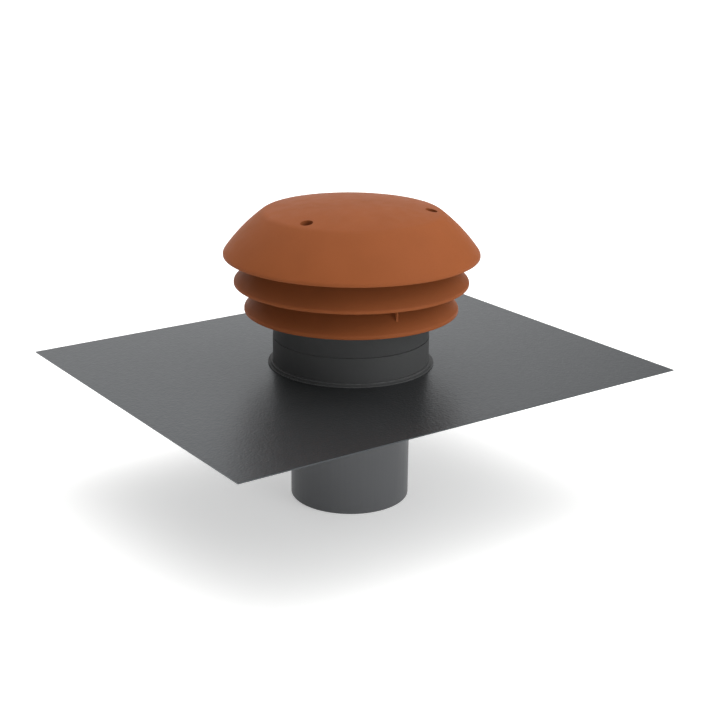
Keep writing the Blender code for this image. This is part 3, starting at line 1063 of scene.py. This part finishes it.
def add_camera(stage):
    """The camera at the photograph's viewing angle."""
    bearing = -stage.camera_bearing
    heading = bearing + stage.camera_yaw
    ahead = Vector((math.sin(heading), math.cos(heading), 0.0))
    forward = ahead * math.cos(stage.camera_pitch) - Vector((0.0, 0.0, math.sin(stage.camera_pitch)))
    level_right = Vector((math.cos(heading), -math.sin(heading), 0.0))
    level_up = level_right.cross(forward)
    tilt, lean = math.cos(stage.camera_roll), math.sin(stage.camera_roll)
    right = level_right * tilt + level_up * lean
    up = level_up * tilt - level_right * lean
    axis_ahead = Vector((math.sin(bearing), math.cos(bearing), 0.0))
    place = axis_ahead * -stage.camera_distance + Vector((0.0, 0.0, stage.camera_height))
    data = bpy.data.cameras.new("camera")
    data.sensor_width = SENSOR_WIDTH
    data.lens = stage.lens
    data.clip_end = 2 * FLOOR_SIZE
    camera = bpy.data.objects.new("camera", data)
    bpy.context.collection.objects.link(camera)
    turn = Matrix((right, up, -forward)).transposed().to_4x4()
    camera.matrix_world = Matrix.Translation(place) @ turn
    bpy.context.scene.camera = camera


def add_soft_lights(stage):
    """Soft lights all round, each one brightest in its own direction."""
    world = bpy.data.worlds.new("studio")
    world.use_nodes = True
    sky = Wiring(world.node_tree)
    way = sky.tree.nodes.new("ShaderNodeTexCoord").outputs["Generated"]
    total = 0.0
    for bearing, elevation, tightness, strength in SOFT_LIGHTS:
        turn = math.radians(bearing) - stage.camera_bearing
        rise = math.radians(elevation)
        aim = (math.sin(turn) * math.cos(rise), math.cos(turn) * math.cos(rise), math.sin(rise))
        facing = sky.tree.nodes.new("ShaderNodeVectorMath")
        facing.operation = "DOT_PRODUCT"
        sky.feed(facing, {0: way, 1: aim})
        lit = sky.maths("MAXIMUM", facing.outputs["Value"], 0.0)
        lobe = sky.maths("MULTIPLY", sky.maths("POWER", lit, tightness), strength * stage.light)
        total = sky.maths("ADD", lobe, total)
    background = sky.tree.nodes["Background"]
    sky.feed(background, {"Color": (1.0, 1.0, 1.0, 1.0), "Strength": total})
    bpy.context.scene.world = world


class VENT_OT_stage(Operator):
    """Make the floor, the light and the camera"""

    bl_idname = "vent.stage"
    bl_label = "Stage"

    def execute(self, context):
        """Set up the plain pale floor, the soft light and the photograph's view."""
        scene = context.scene
        stage = scene.vent_stage
        add_floor(scene.vent_colours, stage.floor_glow)
        add_camera(stage)
        add_soft_lights(stage)
        scene.view_settings.view_transform = "Standard"
        return {"FINISHED"}


class VIEW3D_PT_roof_vent(Panel):
    """Lists the sizes, the colours and the steps"""

    bl_label = "Roof Vent"
    bl_idname = "VIEW3D_PT_roof_vent"
    bl_space_type = "VIEW_3D"
    bl_region_type = "UI"
    bl_category = "Roof Vent"

    def draw(self, context):
        """Draw the steps and, below them, every property."""
        column = self.layout.column(align=True)
        for step in STEPS:
            column.operator(step.bl_idname)
        for group in GROUPS:
            box = self.layout.box()
            box.label(text=group.__doc__)
            holder = getattr(context.scene, GROUPS[group])
            for name in group.__annotations__:
                box.prop(holder, name)


STEPS = (
    VENT_OT_cap,
    VENT_OT_louvre_rings,
    VENT_OT_collar,
    VENT_OT_flashing_sheet,
    VENT_OT_spigot,
    VENT_OT_stage,
)
GROUPS = {
    VentMouldingSizes: "vent_moulding",
    VentFasteningSizes: "vent_fastening",
    VentCollarSizes: "vent_collar",
    VentSheetSizes: "vent_sheet",
    VentColours: "vent_colours",
    VentStage: "vent_stage",
}


def register():
    """Register the classes and give the scene its properties."""
    for group, name in GROUPS.items():
        bpy.utils.register_class(group)
        setattr(bpy.types.Scene, name, PointerProperty(type=group))
    for step in STEPS:
        bpy.utils.register_class(step)
    bpy.utils.register_class(VIEW3D_PT_roof_vent)


def unregister():
    """Take everything away again."""
    bpy.utils.unregister_class(VIEW3D_PT_roof_vent)
    for step in reversed(STEPS):
        bpy.utils.unregister_class(step)
    for group, name in GROUPS.items():
        delattr(bpy.types.Scene, name)
        bpy.utils.unregister_class(group)


def main():
    """Register, and make every piece and the stage."""
    register()
    bpy.ops.vent.cap()
    bpy.ops.vent.louvre_rings()
    bpy.ops.vent.collar()
    bpy.ops.vent.flashing_sheet()
    bpy.ops.vent.spigot()
    bpy.ops.vent.stage()


if __name__ == "__main__":
    main()
